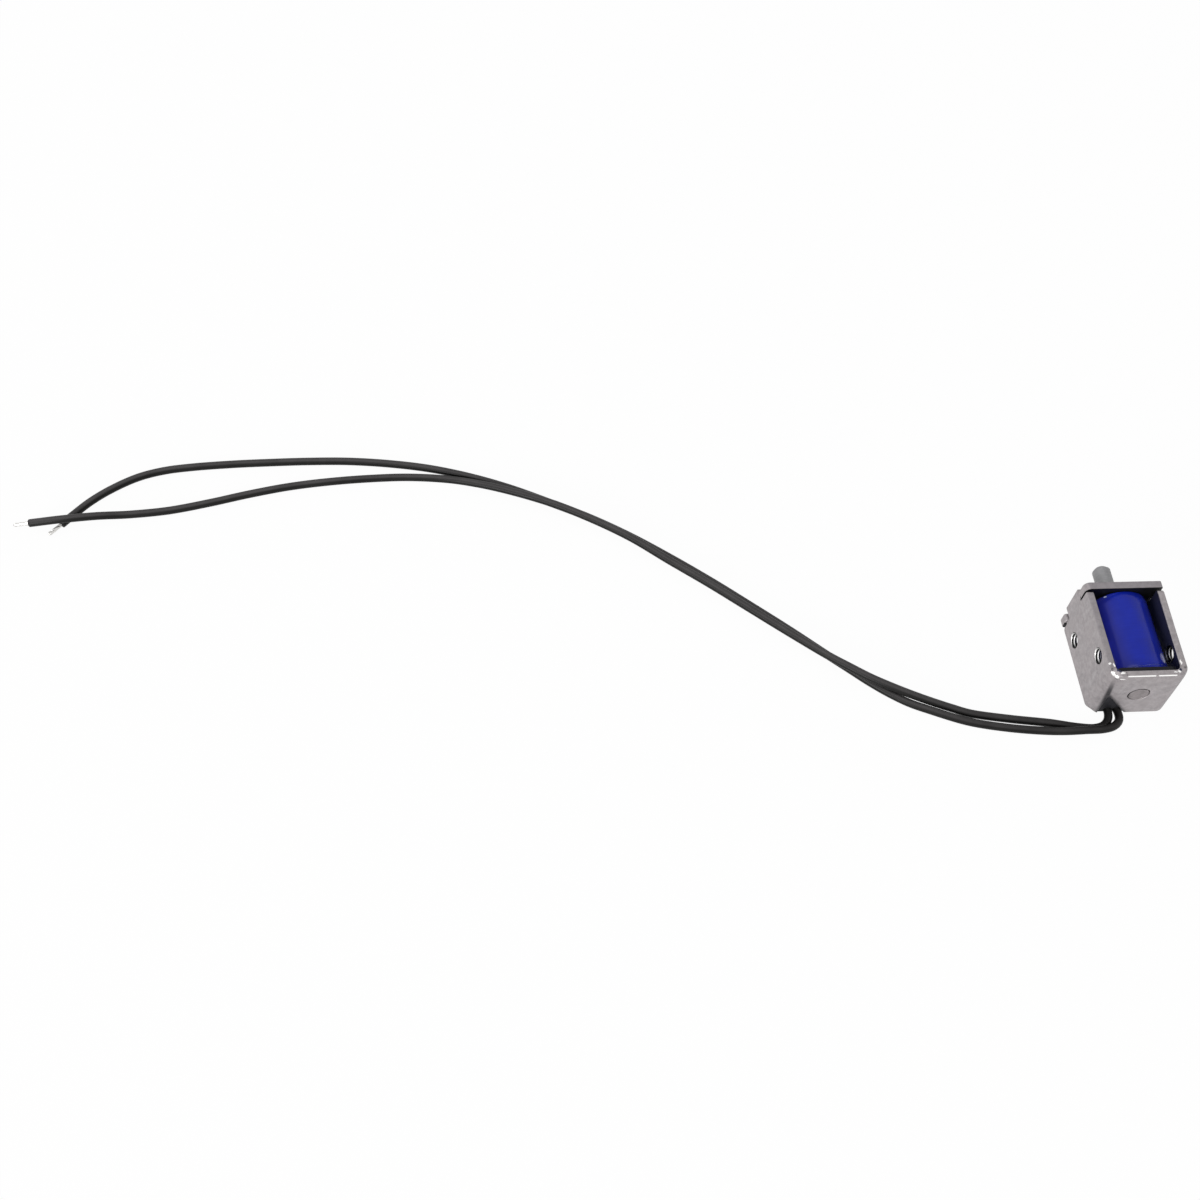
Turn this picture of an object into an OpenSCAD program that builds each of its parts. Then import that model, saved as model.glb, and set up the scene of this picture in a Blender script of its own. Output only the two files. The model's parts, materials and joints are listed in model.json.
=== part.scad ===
// Miniature open-frame locking solenoid: a spring holds the lock pin out and the coil pulls it in.
// It lies on its back: +Y is the way the pin points, +Z is up out of the open window, millimetres.

/* [Frame] */
// Outer width across the two side plates
frame_w = 9.5; // [9:0.1:12]
// Length from the outer face of the bottom plate to the outer face of the end plate
frame_len = 13.2; // [12:0.1:16]
// Depth of the strip, from the table to the open window
frame_d = 8.7; // [8.4:0.1:12]
// Thickness of the steel strip
sheet = 0.8; // [0.7:0.05:1]
// Inside radius of the two bends
bend_r = 0.6; // [0.4:0.05:0.8]

/* [Staked end plate] */
// Thickness of the end plate
plate_t = 1; // [0.8:0.05:1.2]
// Width of the tongue on each side plate
tongue_w = 4.2; // [3:0.1:5]
// How far the staked tongues stand proud of the end plate
stake_h = 0.4; // [0.1:0.05:0.5]
// Gap between a tongue and its notch in the end plate
tongue_gap = 0.05; // [0.02:0.01:0.1]
// Gap between the end plate and the shoulders that it sits on
shoulder_gap = 0.1; // [0.02:0.01:0.15]
// Radius of the corners of those shoulders, at the window and at the table
shoulder_r = 0.5; // [0.2:0.1:0.8]
// Radius of the relief cuts at the root of each tongue
relief_r = 0.25; // [0.1:0.05:0.4]
// Radius of the end plate's corners on the window side
window_corner_r = 0.2; // [0.1:0.1:1]
// Radius of its left corner there, which is rounded off more
left_corner_r = 0.5; // [0.2:0.1:1]
// Radius of the end plate's corners on the table side
table_corner_r = 0.8; // [0.3:0.1:1.5]

/* [Mounting holes] */
// Diameter of the tapped holes in the side plates, over the thread
hole_d = 2; // [1.6:0.1:2.4]
// Distance between the two holes of a plate along the frame
hole_pitch_len = 5.1; // [3:0.1:6]
// Distance between the two holes of a plate across its depth
hole_pitch_d = 4.8; // [3:0.1:5.4]

/* [Lead notch] */
// Distance of the notch in the bottom plate from the left side of the frame
notch_from_left = 1.2; // [1.1:0.05:1.5]
// Width of the notch at the table
notch_w = 3.6; // [3.2:0.05:3.8]
// Height of the notch along its left side
notch_h = 4.1; // [3.4:0.1:4.4]

/* [Magnet core] */
// Diameter of the plunger and of the fixed core
pole_d = 3; // [2.9:0.05:3.4]
// Length of the fixed core inside the frame
core_len = 4; // [3:0.1:5]
// Diameter of the hole in the bottom plate that the core is staked into
core_hole_d = 2.5; // [2.2:0.05:2.7]
// Depth of the core's end below the outer face of the bottom plate
core_recess = 0.06; // [0:0.01:0.2]
// Chamfer at the outer rim of the core hole and of the core's end
core_chamfer = 0.05; // [0.05:0.05:0.2]
// Gap around the staked end of the core
stake_gap = 0.02; // [0.01:0.01:0.05]

/* [Lock pin] */
// Diameter of the lock pin
pin_d = 2.2; // [1.8:0.1:2.3]
// How far the pin stands out of the end plate at rest
pin_out = 4.8; // [3.5:0.1:8]
// Length and depth of the chamfer at the tip of the pin
pin_chamfer = 0.4; // [0.1:0.05:0.5]
// Travel of the pin
stroke = 2.5; // [1:0.1:3]
// Gap around the pin in the end plate
pin_gap = 0.08; // [0.03:0.01:0.1]
// Gap around the end of the pin that is fixed in the plunger
pin_seat_gap = 0.01; // [0.01:0.01:0.03]
// Gap that is left between the plunger and the core when the pin is pulled in
pole_gap = 0.1; // [0.05:0.05:0.3]
// Solid length of the plunger between the pin and the spring
plunger_web = 0.55; // [0.3:0.05:0.8]
// Thickness of the damper washer on the plunger
washer_t = 0.3; // [0.2:0.05:0.5]
// Gap between the washer and the end plate at rest
rest_gap = 0.02; // [0.01:0.01:0.05]

/* [Return spring] */
// Diameter of the spring pockets in the plunger and in the core
pocket_d = 1.9; // [1.6:0.1:2.1]
// Depth of each spring pocket
pocket_depth = 1.6; // [1:0.1:2]
// Diameter of the spring wire
wire_d = 0.2; // [0.15:0.01:0.25]
// Number of turns
spring_turns = 8; // [6:1:10]
// Gap between the spring and its pockets
spring_gap = 0.08; // [0.05:0.01:0.15]

/* [Bobbin and coil] */
// Thickness of the brass guide tube
guide_wall = 0.2; // [0.15:0.05:0.3]
// Running gap around the plunger in the guide tube
plunger_gap = 0.05; // [0.02:0.01:0.1]
// Gap around the guide tube in the bobbin
guide_gap = 0.03; // [0.01:0.01:0.06]
// Wall of the bobbin's tube
bobbin_wall = 0.35; // [0.25:0.05:0.5]
// Thickness of the bobbin's flanges
flange_t = 0.65; // [0.4:0.05:0.9]
// Distance of the lower flange from the window and from the table
flange_inset = 0.5; // [0.1:0.05:0.6]
// Corner radius of the lower flange
flange_corner_r = 1; // [0.5:0.1:1.5]
// Gap between the bobbin and the frame
bobbin_gap = 0.08; // [0.03:0.01:0.15]
// Gap between the taped coil and the side plates
coil_gap = 0.15; // [0.05:0.01:0.4]
// Least distance of the taped coil from the window and from the table
coil_inset = 0.5; // [0.4:0.05:1.2]
// Thickness of the blue insulating tape
tape_t = 0.14; // [0.06:0.02:0.2]
// Distance of the tape's lower edge from the lower flange
tape_edge = 0.25; // [0.05:0.05:0.3]
// Gap between the layers of the coil
layer_gap = 0.02; // [0.01:0.01:0.04]

/* [Leads] */
// Diameter of a lead over its insulation
lead_d = 1; // [0.8:0.05:1]
// Diameter of the tinned strands
strand_d = 0.48; // [0.4:0.02:0.6]
// Length of the bare tinned end of a lead
bare_len = 2; // [1:0.1:4]
// Diameter of a solder joint inside the frame
joint_d = 0.66; // [0.6:0.02:0.7]
// Length of a solder joint
joint_len = 1.6; // [1:0.1:2]
// Width of the slot for the leads in the lower flange
lead_slot_w = 2.6; // [2.4:0.05:2.8]
// Height of that slot above the table
lead_slot_h = 1.15; // [1.05:0.05:1.3]
// Distance of that slot from the left side of the frame
lead_slot_from_left = 1.4; // [1.3:0.05:1.5]

/* [Hidden] */
$fn = 64;
// A cut runs this far past the face that it opens
cut = 1;
lead_sides = 8;
wire_sides = 6;
steps_per_turn = 12;

steel = [0.64, 0.62, 0.61];
dark_steel = [0.53, 0.53, 0.53];
brass = [0.75, 0.6, 0.3];
black = [0.06, 0.06, 0.06];
copper = [0.6, 0.3, 0.15];
blue = [0.12, 0.14, 0.6];
nylon = [0.85, 0.84, 0.78];
tin = [0.75, 0.74, 0.72];

// Places along the axis, measured from the outer face of the bottom plate
base_y = -(frame_len + pin_out) / 2;
axis_z = frame_d / 2;
plate_low = frame_len - plate_t;
shoulder_at = plate_low - shoulder_gap;
tip_at = frame_len + pin_out;
core_top = sheet + core_len;
plunger_low = core_top + stroke + pole_gap;
washer_top = plate_low - rest_gap;
plunger_top = washer_top - washer_t;
pin_low = plunger_low + pocket_depth + plunger_web;
bobbin_low = sheet + bobbin_gap;
bobbin_top = plate_low - bobbin_gap;
spring_low = core_top - pocket_depth + layer_gap;
spring_top = plunger_low + pocket_depth - layer_gap;

// Radii about the axis, from the inside out
pole_r = pole_d / 2;
pin_r = pin_d / 2;
pocket_r = pocket_d / 2;
guide_in = pole_r + plunger_gap;
guide_out = guide_in + guide_wall;
bore_r = guide_out + guide_gap;
tube_r = bore_r + bobbin_wall;
tape_out = min(frame_w / 2 - sheet - coil_gap, frame_d / 2 - coil_inset);
tape_in = tape_out - tape_t;
winding_out = tape_in - layer_gap;
winding_in = tube_r + layer_gap;
spring_r = pocket_r - spring_gap - wire_d / 2;
washer_in = pin_r + plunger_gap;

// The bends of the strip
bend_out = bend_r + sheet;
bend_x = frame_w / 2 - bend_out;

// Routes of the two leads on the table, from the solder joint to the bare end, measured from the
// frame's left corner at the bottom plate
corner = [-frame_w / 2, base_y, 0];
route_1 = [
    [2.1, 1.75, 0.5], [2.15, 1, 0.5], [2.35, -0.1, 0.5], [2.05, -1.2, 0.5], [1.3, -1.95, 0.5],
    [0.15, -2.25, 0.5], [-1.9, -2.05, 0.5], [-5.1, -1.4, 0.5], [-9.8, -0.7, 0.5], [-14.5, 0.2, 0.5],
    [-16.7, 1, 0.55], [-19, 1.8, 0.8], [-21.4, 2.6, 1.25], [-23.7, 3.6, 1.5], [-26.1, 4.9, 1.58],
    [-28.4, 6.5, 1.52], [-30.6, 8.1, 1.43], [-35, 11.7, 1.27], [-39.5, 15.4, 1.24],
    [-44.1, 19.2, 1.2], [-48.8, 22.8, 1.25], [-53.5, 26.4, 1.4], [-58.4, 29.5, 1.4], [-63.4, 32.1, 1.4],
    [-68.5, 34.3, 1.15], [-72.4, 35.7, 0.9], [-76.3, 36.8, 0.55], [-81.4, 37.3, 0.5], [-86.6, 37.2, 0.5],
    [-91.7, 36.8, 0.5], [-96.8, 36.1, 0.5], [-101.8, 35, 0.5], [-106.7, 33.7, 0.5], [-111.6, 32.6, 0.5],
    [-116.5, 32, 0.6], [-120.4, 31.4, 1.2], [-124.4, 30.7, 1.6], [-128.5, 30.7, 0.9]
];
route_2 = [
    [3.15, 1.75, 0.5], [3.2, 1, 0.5], [3.5, -0.15, 0.55], [3.25, -1.45, 0.85], [2.3, -2.4, 1.15],
    [0.8, -2.85, 1.3], [-1.2, -2.9, 1.3], [-3.2, -2.8, 1], [-5.6, -2.5, 0.6], [-10.2, -1.9, 0.5],
    [-14.9, -0.9, 0.5], [-19.5, 0.9, 0.5], [-21.7, 1.9, 0.5], [-23.9, 3.3, 0.5], [-26, 4.9, 0.5],
    [-28.2, 6.8, 0.5], [-30.3, 8.6, 0.5], [-34.6, 12.4, 0.5], [-39.1, 16.2, 0.5],
    [-43.7, 20, 0.5], [-48.5, 23.7, 0.5], [-53.4, 27.2, 0.5], [-58.3, 30.2, 0.5], [-63.4, 32.8, 0.5],
    [-68.4, 35.2, 0.5], [-73.6, 37.2, 0.5], [-78.9, 38.7, 0.5], [-84.1, 39.6, 0.5], [-89.3, 40.1, 0.5],
    [-94.4, 40.2, 0.5], [-99.6, 40.1, 0.5], [-104.6, 39.9, 0.5], [-109.7, 39.5, 0.5], [-113, 39, 0.5],
    [-116.1, 38, 0.5], [-119.3, 36.1, 0.5], [-121.6, 34.2, 0.5], [-123.5, 32.1, 0.5], [-124.7, 30.7, 0.5]
];

function unit(v) = v / norm(v);

// Direction of a path at one of its points
function heading(path, i) = unit(path[min(i + 1, len(path) - 1)] - path[max(i - 1, 0)]);

// Ring of points around a path at one of its points
function ring(path, i, radius, sides, side) =
    let (along = heading(path, i), across = unit(cross(side, along)), up = cross(along, across))
    [for (k = [0 : sides - 1]) let (a = 360 * k / sides) path[i] + radius * (cos(a) * across + sin(a) * up)];

// Solid tube along a path, with one radius per point
module sweep(path, radii, sides, side = [0, 0, 1]) {
    last = len(path) - 1;
    points = [for (i = [0 : last]) each ring(path, i, radii[i], sides, side)];
    walls = [for (i = [0 : last - 1], k = [0 : sides - 1])
        [i * sides + k, (i + 1) * sides + k, (i + 1) * sides + (k + 1) % sides, i * sides + (k + 1) % sides]];
    start_cap = [for (k = [0 : sides - 1]) k];
    end_cap = [for (k = [sides - 1 : -1 : 0]) last * sides + k];
    polyhedron(points, concat(walls, [start_cap, end_cap]));
}

// Places a shape that is drawn along +Z on the axis of the pin, at a distance from the bottom plate
module on_axis(at) {
    translate([0, base_y + at, axis_z]) rotate([-90, 0, 0]) children();
}

// Round solid on the axis
module rod(radius, from, to) {
    on_axis(from) cylinder(r = radius, h = to - from);
}

// Round hole on the axis, open past both of its ends
module hole(radius, from, to) {
    rod(radius, from - cut, to + cut);
}

// Ring on the axis
module collar(outer, inner, from, to) {
    difference() {
        rod(outer, from, to);
        hole(inner, from, to);
    }
}

// Flat plate across the axis, from an outline in X and Z
module cross_plate(from, thickness) {
    translate([0, base_y + from + thickness, 0]) rotate([90, 0, 0]) linear_extrude(thickness) children();
}

// Hole through both side plates
module side_hole(at, z) {
    translate([-frame_w / 2 - cut, base_y + at, z])
        rotate([0, 90, 0]) cylinder(d = hole_d, h = frame_w + 2 * cut);
}

// Rectangle centred on X, standing on z = low, with one corner radius on each long side
module plate_outline(width, low, high, low_r, high_r) {
    x_low = width / 2 - low_r;
    x_high = width / 2 - high_r;
    for (side = [-1, 1]) {
        translate([side * x_low, low + low_r]) circle(low_r);
        translate([side * x_high, high - high_r]) circle(high_r);
    }
    translate([-width / 2, low + low_r]) square([width, high - high_r - low - low_r]);
    translate([-x_low, low]) square([2 * x_low, low_r]);
    translate([-x_high, high - high_r]) square([2 * x_high, high_r]);
}

// Outline in X and Y of a U with round bottom corners, filled in
module u_outline(half_w, low, corner_r, top) {
    for (side = [-1, 1]) translate([side * (half_w - corner_r), low + corner_r]) circle(corner_r);
    translate([-half_w + corner_r, low]) square([2 * (half_w - corner_r), corner_r]);
    translate([-half_w, low + corner_r]) square([2 * half_w, top - low - corner_r]);
}

// Space inside the bent strip, held back by a gap
module frame_inside(gap, top) {
    u_outline(frame_w / 2 - sheet - gap, sheet + gap, max(bend_r - gap, gap), top);
}

// Outline of a side plate in its own plane: round shoulders, and the tongue between two relief cuts
module side_outline() {
    difference() {
        union() {
            plate_outline(frame_d, -cut, shoulder_at, cut / 2, shoulder_r);
            translate([-tongue_w / 2, 0]) square([tongue_w, frame_len + stake_h]);
        }
        for (side = [-1, 1]) translate([side * (tongue_w / 2 + relief_r), shoulder_at]) circle(relief_r);
    }
}

// Corner cut in the bottom plate that lets the leads out
module lead_notch() {
    left = -frame_w / 2 + notch_from_left;
    slope = notch_w / notch_h;
    cross_plate(-cut, bend_out + cut) polygon([
        [left, -cut],
        [left + notch_w + slope * cut, -cut],
        [left, notch_h]
    ]);
}

module frame() {
    hole_r = core_hole_d / 2;
    color(steel) difference() {
        intersection() {
            translate([0, base_y, 0]) linear_extrude(frame_d) difference() {
                u_outline(frame_w / 2, 0, bend_out, frame_len + stake_h + cut);
                frame_inside(0, frame_len + stake_h + 2 * cut);
            }
            translate([frame_w / 2 + cut, base_y, axis_z])
                rotate([0, -90, 0]) linear_extrude(frame_w + 2 * cut) side_outline();
        }
        for (end = [-1, 1]) {
            side_hole(frame_len / 2 + end * hole_pitch_len / 2, axis_z - end * hole_pitch_d / 2);
        }
        hole(hole_r, 0, sheet);
        on_axis(-core_chamfer) cylinder(r1 = hole_r + 2 * core_chamfer, r2 = hole_r, h = 2 * core_chamfer);
        lead_notch();
    }
}

// What is cut away to round off the left corner of the end plate at the window
module left_corner_waste() {
    difference() {
        translate([-frame_w / 2 - cut, frame_d - left_corner_r]) square(left_corner_r + cut);
        translate([-frame_w / 2 + left_corner_r, frame_d - left_corner_r]) circle(left_corner_r);
    }
}

module end_plate() {
    notch = sheet + tongue_gap;
    notch_len = tongue_w + 2 * tongue_gap;
    color(steel) difference() {
        cross_plate(plate_low, plate_t) difference() {
            plate_outline(frame_w, 0, frame_d, table_corner_r, window_corner_r);
            left_corner_waste();
            for (x = [-frame_w / 2 - cut, frame_w / 2 - notch]) {
                translate([x, axis_z - notch_len / 2]) square([notch + cut, notch_len]);
            }
        }
        hole(pin_r + pin_gap, plate_low, frame_len);
    }
}

// The lower flange is a plate, the upper one a disc that the tape covers
module bobbin() {
    width = frame_w - 2 * sheet - 2 * bobbin_gap;
    high = frame_d - flange_inset;
    color(black) difference() {
        intersection() {
            union() {
                cross_plate(bobbin_low, flange_t)
                    plate_outline(width, flange_inset, high, flange_corner_r, flange_corner_r);
                rod(tube_r, bobbin_low, bobbin_top);
                rod(winding_out, bobbin_top - flange_t, bobbin_top);
            }
            translate([0, base_y, 0]) linear_extrude(frame_d) frame_inside(bobbin_gap, frame_len);
        }
        hole(bore_r, bobbin_low, bobbin_top);
        translate([-frame_w / 2 + lead_slot_from_left, base_y + bobbin_low - cut, -cut])
            cube([lead_slot_w, flange_t + 2 * cut, lead_slot_h + cut]);
    }
}

module guide_tube() {
    color(brass) collar(guide_out, guide_in, bobbin_low, bobbin_top);
}

module coil_winding() {
    color(copper)
        collar(winding_out, winding_in, bobbin_low + flange_t + layer_gap, bobbin_top - flange_t - layer_gap);
}

module coil_tape() {
    color(blue) collar(tape_out, tape_in, bobbin_low + flange_t + tape_edge, bobbin_top);
}

module fixed_core() {
    shank_r = core_hole_d / 2 - stake_gap;
    color(dark_steel) difference() {
        union() {
            rod(pole_r, sheet, core_top);
            rod(shank_r, core_recess + core_chamfer, sheet + pole_gap);
            on_axis(core_recess) cylinder(r1 = shank_r - core_chamfer, r2 = shank_r, h = core_chamfer);
        }
        rod(pocket_r, core_top - pocket_depth, core_top + cut);
    }
}

module plunger() {
    color(dark_steel) difference() {
        rod(pole_r, plunger_low, plunger_top);
        rod(pocket_r, plunger_low - cut, plunger_low + pocket_depth);
        rod(pin_r + pin_seat_gap, pin_low - pin_seat_gap, plunger_top + cut);
    }
}

module lock_pin() {
    color(dark_steel) {
        rod(pin_r, pin_low, tip_at - pin_chamfer);
        on_axis(tip_at - pin_chamfer) cylinder(r1 = pin_r, r2 = pin_r - pin_chamfer, h = pin_chamfer);
    }
}

module damper_washer() {
    color(nylon) collar(pole_r, washer_in, plunger_top, washer_top);
}

// Height of the spring's wire after a number of turns: the end turns lie closed on each other
function coil_rise(turn, height) =
    let (closed = 1.05 * wire_d)
    turn < 1 ? closed * turn
    : turn > spring_turns - 1 ? height - closed * (spring_turns - turn)
    : closed + (height - 2 * closed) * (turn - 1) / (spring_turns - 2);

module return_spring() {
    height = spring_top - spring_low - wire_d;
    steps = spring_turns * steps_per_turn;
    path = [for (i = [0 : steps]) let (a = 360 * i / steps_per_turn)
        [spring_r * cos(a), base_y + spring_low + wire_d / 2 + coil_rise(i / steps_per_turn, height),
         axis_z + spring_r * sin(a)]];
    color(steel) sweep(path, [for (p = path) wire_d / 2], wire_sides, [0, 1, 0]);
}

module lead(route) {
    path = [for (p = route) corner + p];
    color(black) sweep(path, [for (p = path) lead_d / 2], lead_sides);
}

module lead_end(route) {
    last = len(route) - 1;
    start = corner + route[last];
    tip = start + bare_len * heading(route, last);
    color(tin) sweep([start, tip], [strand_d / 2, strand_d / 2], lead_sides);
}

// Solder joint on the inner end of a lead, tapered at both ends
module solder_joint(route) {
    inward = -heading(route, 0);
    taper = joint_d / 4;
    path = [for (s = [0, taper, joint_len - taper, joint_len]) corner + route[0] + s * inward];
    full = joint_d / 2;
    color(tin) sweep(path, [full - taper / 2, full, full, full - taper], lead_sides);
}

frame();
end_plate();
bobbin();
guide_tube();
coil_winding();
coil_tape();
fixed_core();
plunger();
lock_pin();
damper_washer();
return_spring();
solder_joint(route_1);  // solder_joint_1
solder_joint(route_2);  // solder_joint_2
lead(route_1);  // lead_1
lead(route_2);  // lead_2
lead_end(route_1);  // lead_1_end
lead_end(route_2);  // lead_2_end
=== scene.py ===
import json
import math

import bmesh
import bpy
from mathutils import Matrix, Vector, noise


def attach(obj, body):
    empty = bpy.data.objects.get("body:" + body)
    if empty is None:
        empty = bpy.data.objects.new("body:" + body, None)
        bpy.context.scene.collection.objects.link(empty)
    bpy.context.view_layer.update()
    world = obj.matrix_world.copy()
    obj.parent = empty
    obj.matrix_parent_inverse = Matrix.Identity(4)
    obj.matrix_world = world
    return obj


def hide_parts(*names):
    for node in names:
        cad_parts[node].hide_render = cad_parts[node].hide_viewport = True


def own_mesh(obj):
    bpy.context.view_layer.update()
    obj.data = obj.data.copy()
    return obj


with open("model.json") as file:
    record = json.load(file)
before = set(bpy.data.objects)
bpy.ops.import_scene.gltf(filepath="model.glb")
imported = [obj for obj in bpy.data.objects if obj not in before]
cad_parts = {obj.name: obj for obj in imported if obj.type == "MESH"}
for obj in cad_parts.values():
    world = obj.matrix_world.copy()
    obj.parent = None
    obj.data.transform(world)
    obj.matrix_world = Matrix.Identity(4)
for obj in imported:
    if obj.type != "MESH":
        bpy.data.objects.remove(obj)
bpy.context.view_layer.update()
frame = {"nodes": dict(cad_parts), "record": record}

MM = 0.001
NODES = frame["nodes"]
SOLENOID = "solenoid"
ARMATURE = "armature"

# Sizes in millimetres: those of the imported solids, apart from the stake, shoulders, corners and notch
FRAME_W, FRAME_LEN, FRAME_D = 9.5, 13.2, 8.7
SHEET, PLATE_T, BEND_R = 0.8, 1.0, 0.6
BEND_OUT = BEND_R + SHEET
PIN_OUT, PIN_CHAMFER = 4.8, 0.4
BASE_Y = -(FRAME_LEN + PIN_OUT) / 2
AXIS_Z = FRAME_D / 2
TONGUE_W, STAKE_H, TONGUE_GAP = 4.2, 0.5, 0.05
SHOULDER_AT, SHOULDER_R = 12.0, 0.5
RELIEF_R = 0.25
# How far the right side is bent out at the table, and how much less it is for each millimetre up
ASKEW, ASKEW_RISE = 0.26, 0.02
WINDOW_CORNER_R, LEFT_CORNER_R, TABLE_CORNER_R = 0.2, 0.75, 0.4
HOLE_R = 1.0
SIDE_HOLES = ((4.05, 6.75), (9.15, 1.95))
CORE_HOLE_R = 1.25
NOTCH_LEFT, NOTCH_RIGHT, NOTCH_H = -3.49, -0.25, 4.1
PIN_R, PIN_HOLE_R, PIN_LOW = 1.1, 1.18, 9.55
TAPE_R, TAPE_LOW, TAPE_TOP = 3.8, 1.78, 12.12
# Tape: lap at the end of a turn, bulge to the upper right, and how much lower its upper edge is on the left
TAPE_LAP, TAPE_BULGE, TAPE_DIP = 0.05, 0.25, 0.4
SPRING_LOW, SPRING_TOP, SPRING_R, SPRING_WIRE, SPRING_TURNS = 3.22, 8.98, 0.77, 0.2, 8
LEAD_D, STRAND_D, BARE_LEN = 1.0, 0.48, 2.0
# Share of the lead's diameter that its cut rims keep, and how long the rounding is
CUT_RIM, CUT_LEN = 0.93, 0.05
STRANDS, STRAND_TURNS = 6, 0.45
JOINT_D, JOINT_LEN = 0.66, 1.6

# Routes of the two leads, in millimetres from the frame's left corner, from the solder joint to the bare end
CORNER = Vector((-FRAME_W / 2, BASE_Y, 0))
ROUTE_1 = (
    (2.1, 1.75, 0.5), (2.15, 1, 0.5), (2.35, -0.1, 0.5), (2.05, -1.2, 0.5), (1.3, -1.95, 0.5),
    (0.15, -2.25, 0.5), (-1.9, -2.05, 0.5), (-5.1, -1.4, 0.5), (-9.8, -0.7, 0.5), (-14.5, 0.2, 0.5),
    (-16.7, 1, 0.55), (-19, 1.8, 0.8), (-21.4, 2.6, 1.25), (-23.7, 3.6, 1.5), (-26.1, 4.9, 1.58),
    (-28.4, 6.5, 1.52), (-30.6, 8.1, 1.43), (-35, 11.7, 1.27), (-39.5, 15.4, 1.24),
    (-44.1, 19.2, 1.2), (-48.8, 22.8, 1.25), (-53.5, 26.4, 1.4), (-58.4, 29.5, 1.4), (-63.4, 32.1, 1.4),
    (-68.5, 34.3, 1.15), (-72.4, 35.7, 0.9), (-76.3, 36.8, 0.55), (-81.4, 37.3, 0.5), (-86.6, 37.2, 0.5),
    (-91.7, 36.8, 0.5), (-96.8, 36.1, 0.5), (-101.8, 35, 0.5), (-106.7, 33.7, 0.5), (-111.6, 32.6, 0.5),
    (-116.5, 32, 0.6), (-120.4, 31.4, 1.2), (-124.4, 30.7, 1.6), (-128.5, 30.7, 0.9),
)
ROUTE_2 = (
    (3.15, 1.75, 0.5), (3.2, 1, 0.5), (3.5, -0.15, 0.55), (3.25, -1.45, 0.85), (2.3, -2.4, 1.15),
    (0.8, -2.85, 1.3), (-1.2, -2.9, 1.3), (-3.2, -2.8, 1), (-5.6, -2.5, 0.6), (-10.2, -1.9, 0.5),
    (-14.9, -0.9, 0.5), (-19.5, 0.9, 0.5), (-21.7, 1.9, 0.5), (-23.9, 3.3, 0.5), (-26, 4.9, 0.5),
    (-28.2, 6.8, 0.5), (-30.3, 8.6, 0.5), (-34.6, 12.4, 0.5), (-39.1, 16.2, 0.5),
    (-43.7, 20, 0.5), (-48.5, 23.7, 0.5), (-53.4, 27.2, 0.5), (-58.3, 30.2, 0.5), (-63.4, 32.8, 0.5),
    (-68.4, 35.2, 0.5), (-73.6, 37.2, 0.5), (-78.9, 38.7, 0.5), (-84.1, 39.6, 0.5), (-89.3, 40.1, 0.5),
    (-94.4, 40.2, 0.5), (-99.6, 40.1, 0.5), (-104.6, 39.9, 0.5), (-109.7, 39.5, 0.5), (-113, 39, 0.5),
    (-116.1, 38, 0.5), (-119.3, 36.1, 0.5), (-121.6, 34.2, 0.5), (-123.5, 32.1, 0.5), (-124.7, 30.7, 0.5),
)


# Mesh helpers: all take millimetres and make objects in metres

def add_mesh(name, points, faces, smooth=True):
    mesh = bpy.data.meshes.new(name)
    mesh.from_pydata([Vector(p) * MM for p in points], [], faces)
    if smooth:
        mesh.polygons.foreach_set("use_smooth", [True] * len(mesh.polygons))
    mesh.update()
    obj = bpy.data.objects.new(name, mesh)
    bpy.context.scene.collection.objects.link(obj)
    return obj


def weighted_normals(obj):
    """Large faces lead where the normals of neighbours are evened out."""
    modifier = obj.modifiers.new("even_normals", "WEIGHTED_NORMAL")
    modifier.weight = 80
    modifier.keep_sharp = True
    return obj


def rings_to_mesh(name, rings, closed=False, caps=True):
    """Closed rings of points, joined one to the next; the ends are capped or joined to each other. The faces
    point outwards."""
    sides = len(rings[0])
    points = [p for ring in rings for p in ring]
    faces = []
    last = len(rings) if closed else len(rings) - 1
    for i in range(last):
        a, b = i * sides, ((i + 1) % len(rings)) * sides
        for k in range(sides):
            n = (k + 1) % sides
            faces.append((a + k, a + n, b + n, b + k))
    if caps and not closed:
        faces.append(tuple(range(sides - 1, -1, -1)))
        top = (len(rings) - 1) * sides
        faces.append(tuple(range(top, top + sides)))
    obj = add_mesh(name, points, faces)
    made = bmesh.new()
    made.from_mesh(obj.data)
    bmesh.ops.recalc_face_normals(made, faces=made.faces)
    made.to_mesh(obj.data)
    made.free()
    return obj


def lathe(name, profile, sides=96, closed=False):
    """Revolves (place along the pin's axis from the bottom plate, radius) about that axis."""
    rings = []
    for at, radius in profile:
        rings.append([
            (radius * math.cos(2 * math.pi * k / sides), BASE_Y + at,
             AXIS_Z - radius * math.sin(2 * math.pi * k / sides))
            for k in range(sides)
        ])
    return rings_to_mesh(name, rings, closed=closed)


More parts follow.
